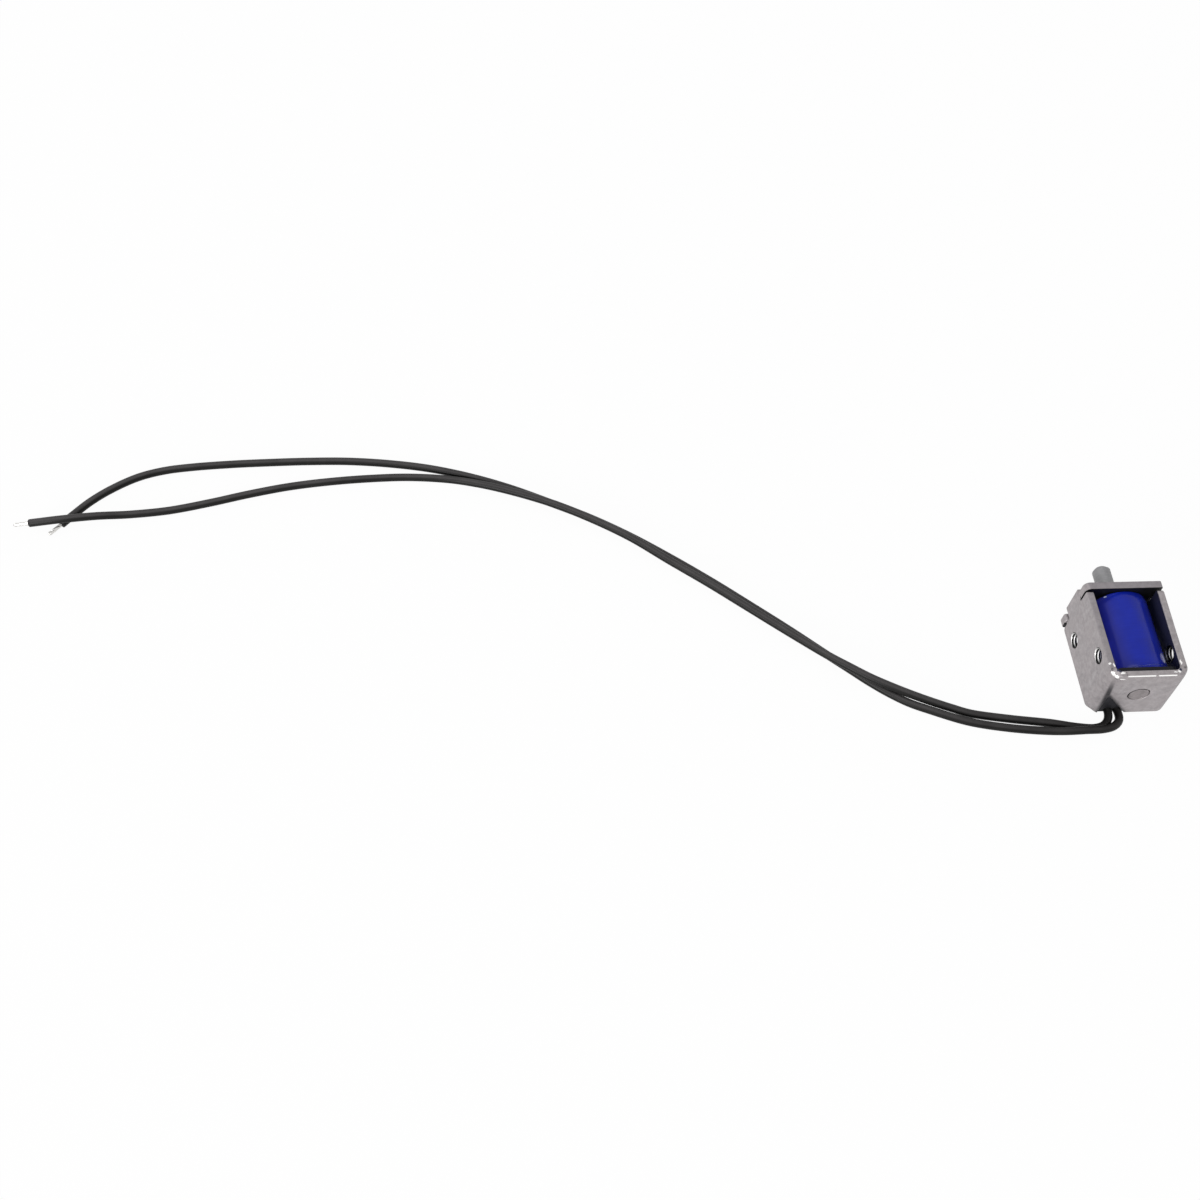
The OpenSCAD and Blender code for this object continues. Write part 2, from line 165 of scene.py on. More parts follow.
def curve_through(route, step):
    """Points about step apart on a smooth curve through the route, never lower than its lowest point."""
    pts = [Vector(p) for p in route]
    pts = [2 * pts[0] - pts[1]] + pts + [2 * pts[-1] - pts[-2]]
    floor = min(p.z for p in pts[1:-1])
    made = []
    for i in range(1, len(pts) - 2):
        p0, p1, p2, p3 = pts[i - 1:i + 3]
        t0 = 0.0
        t1 = t0 + (p1 - p0).length ** 0.5
        t2 = t1 + (p2 - p1).length ** 0.5
        t3 = t2 + (p3 - p2).length ** 0.5
        count = max(2, round((p2 - p1).length / step))
        for k in range(count):
            t = t1 + (t2 - t1) * k / count
            a1 = p0 * ((t1 - t) / (t1 - t0)) + p1 * ((t - t0) / (t1 - t0))
            a2 = p1 * ((t2 - t) / (t2 - t1)) + p2 * ((t - t1) / (t2 - t1))
            a3 = p2 * ((t3 - t) / (t3 - t2)) + p3 * ((t - t2) / (t3 - t2))
            b1 = a1 * ((t2 - t) / (t2 - t0)) + a2 * ((t - t0) / (t2 - t0))
            b2 = a2 * ((t3 - t) / (t3 - t1)) + a3 * ((t - t1) / (t3 - t1))
            p = b1 * ((t2 - t) / (t2 - t1)) + b2 * ((t - t1) / (t2 - t1))
            made.append(Vector((p.x, p.y, max(p.z, floor))))
    made.append(pts[-2])
    return made


def frames_along(path, up=Vector((0, 0, 1))):
    """(point, across, up) at each point of a path, turned as little as possible from one to the next."""
    made = []
    across = None
    for i, p in enumerate(path):
        along = (path[min(i + 1, len(path) - 1)] - path[max(i - 1, 0)]).normalized()
        if across is None:
            across = up.cross(along).normalized()
        else:
            across = (across - along * across.dot(along)).normalized()
        made.append((p, across, along.cross(across)))
    return made


def tube(name, path, radius_at, sides):
    """Closed tube along a path; radius_at(i, angle) gives its radius."""
    rings = []
    for i, (p, across, up) in enumerate(frames_along(path)):
        ring = []
        for k in range(sides):
            a = 2 * math.pi * k / sides
            ring.append(p + radius_at(i, a) * (math.cos(a) * across + math.sin(a) * up))
        rings.append(ring)
    return rings_to_mesh(name, rings)


def dress(obj, body, material, slot, *nodes):
    obj.data.materials.clear()
    obj.data.materials.append(material)
    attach(obj, body)
    if nodes:
        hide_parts(*nodes)
    return obj


# Materials

class Graph:
    """Short words for building one node material."""

    def __init__(self, name):
        self.material = bpy.data.materials.new(name)
        self.material.use_nodes = True
        self.tree = self.material.node_tree
        self.shader = self.tree.nodes["Principled BSDF"]
        self.place = self.tree.nodes.new("ShaderNodeTexCoord").outputs["Object"]

    def set(self, **values):
        for key, value in values.items():
            self.shader.inputs[key.replace("_", " ")].default_value = value
        return self

    def put(self, socket, value):
        """Links a socket to another one, or sets its constant."""
        if isinstance(value, bpy.types.NodeSocket):
            self.tree.links.new(value, socket)
        else:
            socket.default_value = value

    def node(self, kind, **links):
        """A node with its inputs, which are given by name, or by number as i0, i1 and so on."""
        made = self.tree.nodes.new(kind)
        for key, value in links.items():
            numbered = key[0] == "i" and key[1:].isdigit()
            self.put(made.inputs[int(key[1:]) if numbered else key.replace("_", " ")], value)
        return made

    def stretched(self, scale):
        """The object's coordinates, scaled by another number along each axis."""
        made = self.node("ShaderNodeMapping", Vector=self.place)
        made.inputs["Scale"].default_value = scale
        return made.outputs["Vector"]

    def noise(self, scale, detail=3.0, roughness=0.55, vector=None):
        made = self.node(
            "ShaderNodeTexNoise",
            Vector=vector or self.place, Scale=scale, Detail=detail, Roughness=roughness,
        )
        return made.outputs["Fac"]

    def ramp(self, value, stops):
        made = self.node("ShaderNodeValToRGB", Fac=value)
        while len(made.color_ramp.elements) < len(stops):
            made.color_ramp.elements.new(0.5)
        for element, (at, color) in zip(made.color_ramp.elements, stops):
            element.position = at
            element.color = (*color, 1.0)
        return made.outputs["Color"]

    def span(self, value, low, high, from_low=0.3, from_high=0.7, kind="LINEAR"):
        """The value, taken from one range to another and kept inside it."""
        made = self.node(
            "ShaderNodeMapRange", Value=value, From_Min=from_low, From_Max=from_high, To_Min=low, To_Max=high)
        made.interpolation_type = kind
        return made.outputs["Result"]

    def mix(self, factor, tone, color):
        """A tone that turns into a colour as the factor goes from 0 to 1."""
        made = self.tree.nodes.new("ShaderNodeMix")
        made.data_type = "RGBA"
        for index, value in ((0, factor), (6, tone), (7, (*color, 1.0))):
            self.put(made.inputs[index], value)
        return made.outputs[2]

    def math(self, operation, a, b):
        made = self.node("ShaderNodeMath", i0=a, i1=b)
        made.operation = operation
        return made.outputs[0]

    def axes(self):
        """X, place along the pin's axis from the bottom plate, and Z, in millimetres."""
        return self.node("ShaderNodeSeparateXYZ", Vector=self.moved((0, 0, 0), (1, 1, 1))).outputs

    def round_core(self):
        """Distance from the pin's axis, and how far towards the core's upper left, in millimetres."""
        x, _, z = self.axes()
        up = self.math("SUBTRACT", z, AXIS_Z)
        squares = self.math("ADD", self.math("MULTIPLY", x, x), self.math("MULTIPLY", up, up))
        tilt = self.math("SUBTRACT", self.math("MULTIPLY", up, 0.75), self.math("MULTIPLY", x, 0.66))
        return self.math("POWER", squares, 0.5), tilt

    def moved(self, centre, reach, place=None):
        """The place from a centre, in millimetres along X, the pin's axis and Z, divided by a reach."""
        made = self.node("ShaderNodeMapping", Vector=place or self.place)
        made.inputs["Scale"].default_value = [1 / MM / r for r in reach]
        made.inputs["Location"].default_value = [
            (base - c) / r for base, c, r in zip((0, -BASE_Y, 0), centre, reach)]
        return made.outputs["Vector"]

    def ragged(self, scale, amount):
        """The object's coordinates, shifted about by a noise, so that what they bound gets ragged edges."""
        wave = self.node("ShaderNodeTexNoise", Vector=self.place, Scale=scale, Detail=2.0)
        made = self.node("ShaderNodeVectorMath", i0=wave.outputs["Color"], i1=(0.5, 0.5, 0.5))
        made.operation = "SUBTRACT"
        made = self.node(
            "ShaderNodeVectorMath", i0=made.outputs[0], i1=(amount, amount, amount), i2=self.place)
        made.operation = "MULTIPLY_ADD"
        return made.outputs[0]

    def spots(self, *places, core=0.5, vector=None):
        """1 round each centre, falling to 0 at its reach along each axis."""
        made = []
        for centre, reach in places:
            far = self.node("ShaderNodeVectorMath", i0=self.moved(centre, reach, vector))
            far.operation = "LENGTH"
            made.append(self.rise(far.outputs["Value"], 1.0, core))
        return self.any_of(*made)

    def rise(self, value, low, high):
        """0 below low, 1 above high, smooth between them; falls instead where high is below low."""
        ends = (0.0, 1.0) if low < high else (1.0, 0.0)
        return self.span(value, *ends, min(low, high), max(low, high), "SMOOTHSTEP")

    def all_of(self, first, *others):
        for other in others:
            first = self.math("MULTIPLY", first, other)
        return first

    def any_of(self, first, *others):
        for other in others:
            first = self.math("MAXIMUM", first, other)
        return first

    def attribute(self, name):
        made = self.tree.nodes.new("ShaderNodeAttribute")
        made.attribute_name = name
        return made.outputs["Fac"]

    def facing_up(self):
        """Z of the surface's own normal: 1 where it faces up."""
        normal = self.tree.nodes.new("ShaderNodeTexCoord").outputs["Normal"]
        return self.node("ShaderNodeSeparateXYZ", Vector=normal).outputs["Z"]

    def link(self, socket, name):
        self.tree.links.new(socket, self.shader.inputs[name])
        return self

    def bump(self, height, distance, strength=1.0):
        made = self.node("ShaderNodeBump", Height=height, Strength=strength, Distance=distance)
        return self.link(made.outputs["Normal"], "Normal")


# Painted shade and painted highlights on the strip, as (centre, reach) in millimetres along X, the pin's axis
# and Z
SHADED_CORNERS = (((-3.62, 0.82, 8.75), (0.3, 0.26, 0.5)), ((3.6, 0.76, 8.75), (0.24, 0.22, 0.5)))
DENT_SHADES = (
    ((-4.45, 1.1, 8.6), (0.24, 0.32, 0.3)), ((-4.05, 0.2, 7.93), (0.32, 0.3, 0.08)),
    ((-2.92, 0.35, 8.7), (0.07, 0.42, 0.3)), ((-3.35, 0.2, 8.5), (0.4, 0.22, 0.25)),
    ((4.25, 1.1, 8.6), (0.2, 0.3, 0.3)),
)
PAINTED_HIGHLIGHTS = (
    ((-4.55, 1.87, 8.65), (0.2, 0.17, 0.2)), ((-4.12, 1.6, 8.65), (0.12, 0.32, 0.2)),
    ((-4.45, 0.55, 8.35), (0.28, 0.42, 0.3)), ((-4.05, 0.2, 8.3), (0.3, 0.26, 0.3)),
    ((-3.3, 0.03, 8.08), (0.42, 0.2, 0.1)), ((-3.3, 0.5, 8.75), (0.36, 0.16, 0.25)),
    ((3.92, 1.8, 8.65), (0.11, 0.42, 0.25)), ((2.95, 0.45, 8.7), (0.24, 0.12, 0.2)),
    ((3.42, 0.5, 8.7), (0.22, 0.12, 0.2)),
    ((FRAME_W / 2 - SHEET, SHOULDER_AT, 6.4), (0.12, 0.07, 0.4)),
)
# Painted shade up the left bend: where it starts, its X and reach there, and what these gain for each
# millimetre down
BEND_SHADE_TOP, BEND_SHADE_X, BEND_SHADE_REACH = 7.9, -4.12, 0.22
BEND_SHADE_LEAN, BEND_SHADE_SPREAD = 0.1, 0.045


def plated_steel():
    """Matt plated strip: mottled outside, with painted shade inside and painted highlights where the bends
    were squeezed.
    """
    g = Graph("plated_steel").set(Metallic=0.5)
    x, at, z = g.axes()
    wide = g.math("ABSOLUTE", x, 0.0)
    half = FRAME_W / 2 - SHEET
    plate_low = FRAME_LEN - PLATE_T
    grain = g.noise(5200, 4, 0.7)
    blotch = g.noise(1500, 4, 0.65)
    tint = g.noise(420, 2, 0.5)
    rolled = g.noise(1.0, 3, 0.6, g.stretched((2600, 500, 2600)))
    tone = g.ramp(blotch, [(0.34, (0.255, 0.236, 0.243)), (0.66, (0.41, 0.383, 0.392))])
    tone = g.mix(g.span(tint, 0.0, 0.5), tone, (0.345, 0.31, 0.315))
    tone = g.mix(g.span(grain, 0.0, 0.4), tone, (0.225, 0.208, 0.214))
    # Painted shade on the sheared faces of the left plate and the end plate at the window, darker than the
    # rolled faces
    window = g.rise(z, FRAME_D - 0.1, FRAME_D - 0.04)
    window_shade = g.any_of(
        g.all_of(g.rise(x, -half + 0.1, -half - 0.05), 0.3),
        g.all_of(g.rise(at, plate_low + 0.02, plate_low + 0.08), 0.42))
    tone = g.mix(g.math("MULTIPLY", window, window_shade), tone, (0.15, 0.14, 0.16))
    # Painted shadow in the gap round the upper left of the core
    out, tilt = g.round_core()
    core_shadow = g.all_of(g.rise(out, 1.4, 1.31), g.rise(at, 0.3, 0.2), g.rise(tilt, 0.2, 0.8))
    tone = g.mix(core_shadow, tone, (0.012, 0.011, 0.012))
    # Painted shade inside the U, tinted by a painted reflection of the blue coil, short of a rim along the
    # right plate's window edge; the same in the inner corners of the bends, and a darker painted shade in the
    # joint at the shoulders
    away = g.math("SUBTRACT", 1.0, g.math("DIVIDE", at, FRAME_LEN))
    lean = g.math("MULTIPLY", away, g.math("SUBTRACT", ASKEW, g.math("MULTIPLY", z, ASKEW_RISE)))
    limit = g.math("ADD", half + 0.04, g.math("MULTIPLY", g.rise(x, 0, 1), lean))
    rim = g.math("ADD", 0.1, g.math("MULTIPLY", away, 0.33))
    below = g.any_of(g.rise(g.math("ADD", z, rim), FRAME_D + 0.04, FRAME_D - 0.04), g.rise(x, 2.0, 1.0))
    inside = g.all_of(
        g.rise(g.math("SUBTRACT", wide, limit), 0.03, -0.01), below,
        g.rise(at, SHEET - 0.06, SHEET - 0.02), g.rise(at, plate_low + 0.04, plate_low + 0.01),
    )
    corners = g.spots(*SHADED_CORNERS)
    off_axis = g.math("ABSOLUTE", g.math("SUBTRACT", z, AXIS_Z), 0.0)
    joint = g.all_of(
        g.rise(at, SHOULDER_AT - 0.07, SHOULDER_AT - 0.03), g.rise(at, plate_low + 0.07, plate_low + 0.03),
        g.rise(off_axis, TONGUE_W / 2 - 0.02, TONGUE_W / 2 + 0.02),
        g.any_of(g.rise(z, 1.25, 1.15), g.rise(z, AXIS_Z, AXIS_Z + 1)),
    )
    tone = g.mix(g.any_of(inside, corners), tone, (0.02, 0.021, 0.05))
    tone = g.mix(joint, tone, (0.004, 0.004, 0.005))
    # Painted shade up the left bend, over the lead notch
    down = g.math("SUBTRACT", BEND_SHADE_TOP, z)
    middle = g.math("ADD", BEND_SHADE_X, g.math("MULTIPLY", down, BEND_SHADE_LEAN))
    reach = g.math("ADD", BEND_SHADE_REACH, g.math("MULTIPLY", down, BEND_SHADE_SPREAD))
    off = g.math("DIVIDE", g.math("ABSOLUTE", g.math("SUBTRACT", x, middle), 0.0), reach)
    bend_shade = g.all_of(
        g.rise(off, 1.1, 0.3), g.rise(z, 8.25, 5.0), g.rise(at, BEND_OUT + 0.2, BEND_OUT - 0.4),
        g.span(blotch, 0.8, 1.0))
    # The painted shade goes on along the notch's slanted edge
    slant = Vector((NOTCH_H, NOTCH_RIGHT - NOTCH_LEFT)).normalized()
    from_right = g.math("MULTIPLY", g.math("SUBTRACT", x, NOTCH_RIGHT), slant.x)
    past = g.math("ADD", from_right, g.math("MULTIPLY", z, slant.y))
    beside = g.all_of(
        g.rise(past, 0.5, 0.0), g.rise(z, 5.4, 4.2), g.rise(at, 0.7, 0.4), g.rise(x, -3.75, -3.5))
    tone = g.mix(g.any_of(bend_shade, g.math("MULTIPLY", beside, 0.9)), tone, (0.031, 0.03, 0.034))
    # At the window, painted shade in the dents at the squeezed bends, then painted highlights on the squeezed
    # bends and along the bottom plate's front edge
    ragged = g.ragged(2400, 0.0004)
    speck = g.rise(g.noise(3600, 3, 0.6), 0.42, 0.56)
    dent_shade = g.math("MULTIPLY", g.spots(*DENT_SHADES, vector=ragged), g.span(speck, 0.25, 0.85, 0.0, 1.0))
    tone = g.mix(dent_shade, tone, (0.06, 0.056, 0.06))
    highlight_spots = g.spots(*PAINTED_HIGHLIGHTS, core=0.7, vector=ragged)
    front = g.all_of(
        g.rise(at, 0.13, 0.08), g.rise(z, FRAME_D - 0.14, FRAME_D - 0.09),
        g.rise(x, -2.95, -2.75), g.rise(x, 3.1, 2.9), g.rise(g.noise(1300, 2, 0.5), 0.29, 0.36))
    bright = g.any_of(highlight_spots, front)
    tone = g.mix(bright, tone, (0.95, 0.94, 0.93))
    g.link(tone, "Base Color")
    rough = g.math("SUBTRACT", g.span(rolled, 0.42, 0.56), g.math("MULTIPLY", bright, 0.25))
    g.link(rough, "Roughness")
    return g.bump(g.math("ADD", grain, g.math("MULTIPLY", rolled, 0.6)), 0.000012, 0.5).material


def thread_steel():
    """Cut thread: painted highlights on the crests, painted shade in the roots."""
    g = Graph("thread_steel").set(Metallic=0.6)
    crest = g.attribute("crest")
    cloud = g.noise(3200, 3, 0.6)
    tone = g.ramp(g.math("ADD", crest, g.math("MULTIPLY", g.math("SUBTRACT", cloud, 0.5), 0.2)), [
        (0.35, (0.004, 0.004, 0.005)), (0.8, (0.95, 0.94, 0.93))])
    g.link(tone, "Base Color")
    g.link(g.span(cloud, 0.2, 0.34), "Roughness")
    return g.material


def core_iron():
    """Turned soft iron: fine rings round the axis, duller than the strip."""
    g = Graph("core_iron").set(Metallic=0.5)
    grain = g.noise(5200, 4, 0.65)
    cloud = g.noise(900, 3, 0.6)
    tone = g.ramp(cloud, [(0.34, (0.195, 0.174, 0.178)), (0.66, (0.285, 0.253, 0.26))])
    tone = g.mix(g.span(grain, 0.0, 0.4), tone, (0.17, 0.157, 0.153))
    # Painted shadow on the rim of the staked end at its upper left, and a painted highlight on the rim at the
    # other side
    out, tilt = g.round_core()
    rim = g.all_of(g.rise(out, 1.04, 1.14), g.rise(g.axes()["Y"], 0.4, 0.2))
    tone = g.mix(g.all_of(rim, g.rise(tilt, 0.0, 0.7)), tone, (0.012, 0.011, 0.012))
    g.link(g.mix(g.all_of(rim, g.rise(tilt, -0.5, -1.0), 0.5), tone, (0.5, 0.46, 0.46)), "Base Color")
    g.link(g.span(grain, 0.42, 0.58), "Roughness")
    return g.bump(grain, 0.000015, 0.6).material


def pin_steel():
    """Ground round bar: lines round the pin and a slightly darker, neutral tone."""
    g = Graph("pin_steel").set(Metallic=0.6)
    lines = g.noise(1.0, 3, 0.6, g.stretched((900, 14000, 900)))
    cloud = g.noise(1200, 3, 0.6)
    tone = g.ramp(cloud, [(0.3, (0.245, 0.244, 0.25)), (0.72, (0.315, 0.314, 0.322))])
    g.link(g.mix(g.span(lines, 0.0, 0.3), tone, (0.2, 0.2, 0.205)), "Base Color")
    g.link(g.span(lines, 0.46, 0.6), "Roughness")
    return g.bump(lines, 0.000008, 0.5).material


def blue_tape():
    """Glossy polyester tape over the winding, which shows through as faint lines round the coil."""
    g = Graph("blue_tape").set(IOR=1.3)
    wires = g.noise(1.0, 2, 0.5, g.stretched((300, 5200, 300)))
    cloud = g.noise(420, 3, 0.5)
    streak = g.noise(1.0, 3, 0.5, g.stretched((900, 90, 900)))
    tone = g.ramp(cloud, [(0.3, (0.002, 0.011, 0.27)), (0.7, (0.004, 0.017, 0.36))])
    tone = g.mix(g.span(streak, 0.0, 0.4), tone, (0.012, 0.025, 0.29))
    tone = g.mix(g.span(wires, 0.0, 0.3), tone, (0.001, 0.007, 0.22))
    # Painted sheen towards both side plates, painted highlights at the cut edge and two painted glints on the
    # film
    x = g.axes()["X"]
    tone = g.mix(g.all_of(g.rise(x, 1.2, 3.2), 0.5), tone, (0.035, 0.045, 0.36))
    tone = g.mix(g.all_of(g.rise(x, -1.2, -2.6), 0.5), tone, (0.036, 0.04, 0.38))
    glints = g.spots(
        ((3.13, 3.3, 6.85), (0.09, 0.85, 0.12)), ((-2.15, 11.85, 7.5), (0.26, 0.12, 0.22)), core=0.75)
    tape_highlights = g.any_of(g.math("MULTIPLY", g.attribute("edge"), 0.5), glints)
    g.link(g.mix(tape_highlights, tone, (0.55, 0.6, 0.85)), "Base Color")
    g.link(g.span(cloud, 0.16, 0.28), "Roughness")
    return g.bump(g.math("ADD", wires, cloud), 0.00002, 0.3).material


def notch_shade():
    """Near-black painted shade for the lead notch: matt, cloudy and a little lighter in places."""
    g = Graph("notch_shade").set(Specular_IOR_Level=0.2)
    cloud = g.noise(900, 4, 0.6)
    g.link(g.ramp(cloud, [(0.3, (0.007, 0.007, 0.0085)), (0.7, (0.026, 0.0255, 0.03))]), "Base Color")
    g.link(g.span(cloud, 0.5, 0.7), "Roughness")
    return g.bump(cloud, 0.00005, 0.5).material


def bobbin_plastic():
    """Black moulded plastic with a fine eroded skin."""
    g = Graph("bobbin_plastic").set(Specular_IOR_Level=0.12)
    skin = g.noise(5200, 4, 0.6)
    cloud = g.noise(500, 2, 0.5)
    g.link(g.ramp(cloud, [(0.3, (0.009, 0.009, 0.012)), (0.7, (0.018, 0.018, 0.023))]), "Base Color")
    g.link(g.span(skin, 0.34, 0.52), "Roughness")
    return g.bump(skin, 0.00001, 0.5).material


def lead_insulation():
    """Black satin vinyl with a faint drawn grain, patchy tone and a patchy painted sheen along the top."""
    g = Graph("lead_insulation").set(Specular_IOR_Level=0.16)
    skin = g.noise(4200, 4, 0.6)
    mottle = g.noise(260, 4, 0.65)
    tone = g.ramp(mottle, [(0.35, (0.004, 0.0037, 0.0037)), (0.75, (0.009, 0.0085, 0.008))])
    # Painted sheen along the top, in patches, fainter near the frame
    share = g.span(g.axes()["X"], 1.0, 0.3, -28.0, -6.0)
    top = g.all_of(g.rise(g.facing_up(), 0.62, 0.98), g.span(mottle, 0.55, 1.0), share)
    g.link(g.mix(top, tone, (0.062, 0.059, 0.06)), "Base Color")
    g.link(g.span(mottle, 0.34, 0.5), "Roughness")
    return g.bump(skin, 0.000012, 0.35).material


def tin():
    """Tinned copper and solder: bright, with dull grey patches."""
    g = Graph("tin").set(Metallic=1.0)
    patch = g.noise(2600, 3, 0.6)
    g.link(g.ramp(patch, [(0.3, (0.56, 0.55, 0.53)), (0.7, (0.78, 0.77, 0.75))]), "Base Color")
    g.link(g.span(patch, 0.18, 0.36), "Roughness")
    return g.bump(patch, 0.00002, 0.4).material


def brass_tube():
    g = Graph("brass_tube").set(Metallic=1.0)
    drawn = g.noise(1.0, 3, 0.6, g.stretched((9000, 500, 9000)))
    g.link(g.ramp(drawn, [(0.3, (0.5, 0.34, 0.11)), (0.7, (0.66, 0.47, 0.18))]), "Base Color")
    g.link(g.span(drawn, 0.22, 0.36), "Roughness")
    return g.bump(drawn, 0.000008, 0.5).material


def enamelled_copper():
    g = Graph("enamelled_copper").set(Metallic=0.8, Coat_Weight=0.6, Coat_Roughness=0.1)
    wave = g.node("ShaderNodeTexWave", Vector=g.place, Scale=2200, Distortion=0.6, Detail=1.0)
    wave.wave_type = "BANDS"
    wave.bands_direction = "Y"
    turns = wave.outputs["Fac"]
    g.link(g.ramp(turns, [(0.1, (0.12, 0.035, 0.012)), (0.6, (0.42, 0.15, 0.055))]), "Base Color")
    g.link(g.span(turns, 0.42, 0.28, 0.0, 1.0), "Roughness")
    return g.bump(turns, 0.00004, 0.8).material


def washer_nylon():
    g = Graph("washer_nylon").set(Subsurface_Weight=0.1, Subsurface_Radius=(0.0004, 0.0004, 0.0003))
    skin = g.noise(3600, 3, 0.6)
    g.link(g.ramp(skin, [(0.3, (0.6, 0.58, 0.48)), (0.7, (0.7, 0.68, 0.58))]), "Base Color")
    g.link(g.span(skin, 0.4, 0.55), "Roughness")
    return g.bump(skin, 0.00001, 0.5).material


def spring_steel():
    g = Graph("spring_steel").set(Metallic=1.0)
    drawn = g.noise(5200, 3, 0.6)
    g.link(g.ramp(drawn, [(0.3, (0.3, 0.3, 0.3)), (0.7, (0.46, 0.46, 0.45))]), "Base Color")
    g.link(g.span(drawn, 0.22, 0.36), "Roughness")
    return g.bump(drawn, 0.000006, 0.4).material


LOOKS = {
    "plated_steel": plated_steel(), "thread_steel": thread_steel(),
    "core_iron": core_iron(), "pin_steel": pin_steel(),
    "blue_tape": blue_tape(), "bobbin_plastic": bobbin_plastic(), "lead_insulation": lead_insulation(),
    "tin": tin(), "brass_tube": brass_tube(), "enamelled_copper": enamelled_copper(),
    "washer_nylon": washer_nylon(), "spring_steel": spring_steel(), "notch_shade": notch_shade(),
}
for part in frame["record"]["subparts"]:
    NODES[part["node"]].data.materials.clear()
    NODES[part["node"]].data.materials.append(LOOKS[part["material_slot"]])


# Camera: lens and sensor, place in millimetres, and the directions of its view and of its right side

LENS, SENSOR = 42.72, 36
CAMERA_AT = (-76.03, -87.53, 147.67)
CAMERA_VIEW, CAMERA_RIGHT = (0.0763, 0.5452, -0.8348), (0.9968, -0.0607, 0.0515)


def add_camera():
    data = bpy.data.cameras.new("camera")
    data.sensor_width = SENSOR
    data.lens = LENS
    data.clip_start, data.clip_end = 0.005, 50
    forward = Vector(CAMERA_VIEW).normalized()
    right = Vector(CAMERA_RIGHT)
    right = (right - forward * right.dot(forward)).normalized()
    up = right.cross(forward)
    obj = bpy.data.objects.new("camera", data)
    bpy.context.scene.collection.objects.link(obj)
    turn = Matrix((right, up, -forward)).transposed().to_4x4()
    obj.matrix_world = Matrix.Translation(Vector(CAMERA_AT) * MM) @ turn
    bpy.context.scene.camera = obj


add_camera()


# Leads

def add_lead(number, route, material, strands):
    route = [CORNER + Vector(p) for p in route]
    path = curve_through(route, 0.4)
    name = f"lead_{number}"
    # The cut ends of the insulation are a little rounded
    direction = (route[-1] - route[-2]).normalized()
    path.insert(len(path) - 1, path[-1] - direction * CUT_LEN)
    rims = (0, len(path) - 1)
    cord = tube(name + "_cord", path, lambda i, a: LEAD_D / 2 * (CUT_RIM if i in rims else 1.0), 20)
    dress(cord, SOLENOID, material, "lead_insulation", name)
    # Tinned strands: lobes that twist round each other, rounded at the tip
    steps = 30
    bare = [route[-1] + direction * (BARE_LEN * i / steps) for i in range(steps + 1)]

    def lobes(i, a):
        tip = min(1.0, 0.55 + (steps - i) * 0.15)
        twist = 2 * math.pi * STRAND_TURNS * i / steps
        return STRAND_D / 2 * tip * (0.9 + 0.1 * math.cos(STRANDS * (a - twist)))

    end = tube(name + "_strands", bare, lobes, 48)
    dress(end, SOLENOID, strands, "tin", name + "_end")


add_lead(1, ROUTE_1, LOOKS["lead_insulation"], LOOKS["tin"])
add_lead(2, ROUTE_2, LOOKS["lead_insulation"], LOOKS["tin"])


# Sheet metal

def rounded(corners, steps=8):
    """Outline from (x, y, corner radius)."""
    made = []
    count = len(corners)
    for i, (x, y, r) in enumerate(corners):
        here = Vector((x, y))
        if r <= 0:
            made.append(here)
            continue
        before = (Vector(corners[i - 1][:2]) - here).normalized()
        after = (Vector(corners[(i + 1) % count][:2]) - here).normalized()
        half = before.angle(after) / 2
        centre = here + (before + after).normalized() * (r / math.sin(half))
        start = here + before * (r / math.tan(half)) - centre
        end = here + after * (r / math.tan(half)) - centre
        sweep = start.angle_signed(end)
        for k in range(steps + 1):
            a = -sweep * k / steps
            made.append(centre + Vector((
                start.x * math.cos(a) - start.y * math.sin(a),
                start.x * math.sin(a) + start.y * math.cos(a),
            )))
    return made


def circle(x, y, r, count=64):
    return [
        Vector((x + r * math.cos(2 * math.pi * k / count), y + r * math.sin(2 * math.pi * k / count)))
        for k in range(count)
    ]


def sheet_mesh(outlines, thickness, edge):
    """Flat sheet with rounded edges: an outline, then its holes, in the plane of X and Y."""
    curve = bpy.data.curves.new("outline", "CURVE")
    curve.dimensions = "2D"
    curve.fill_mode = "BOTH"
    curve.extrude = thickness / 2 - edge
    curve.bevel_depth = edge
    curve.bevel_resolution = 3
    curve.offset = -edge
    for outline in outlines:
        spline = curve.splines.new("POLY")
        spline.points.add(len(outline) - 1)
        spline.use_cyclic_u = True
        for point, (x, y) in zip(spline.points, outline):
            point.co = (x, y, 0, 1)
    holder = bpy.data.objects.new("outline", curve)
    mesh = bpy.data.meshes.new_from_object(holder)
    bpy.data.objects.remove(holder)
    bpy.data.curves.remove(curve)
    made = bmesh.new()
    made.from_mesh(mesh)
    bpy.data.meshes.remove(mesh)
    bmesh.ops.remove_doubles(made, verts=made.verts, dist=1e-5)
    return made


def cut_sheet(made, normal, places):
    """Cuts a flat sheet along planes at these places, so that it can bend there."""
    for place in places:
        bmesh.ops.bisect_plane(
            made, geom=made.verts[:] + made.edges[:] + made.faces[:], dist=1e-6,
            plane_co=Vector(normal) * place, plane_no=normal,
        )


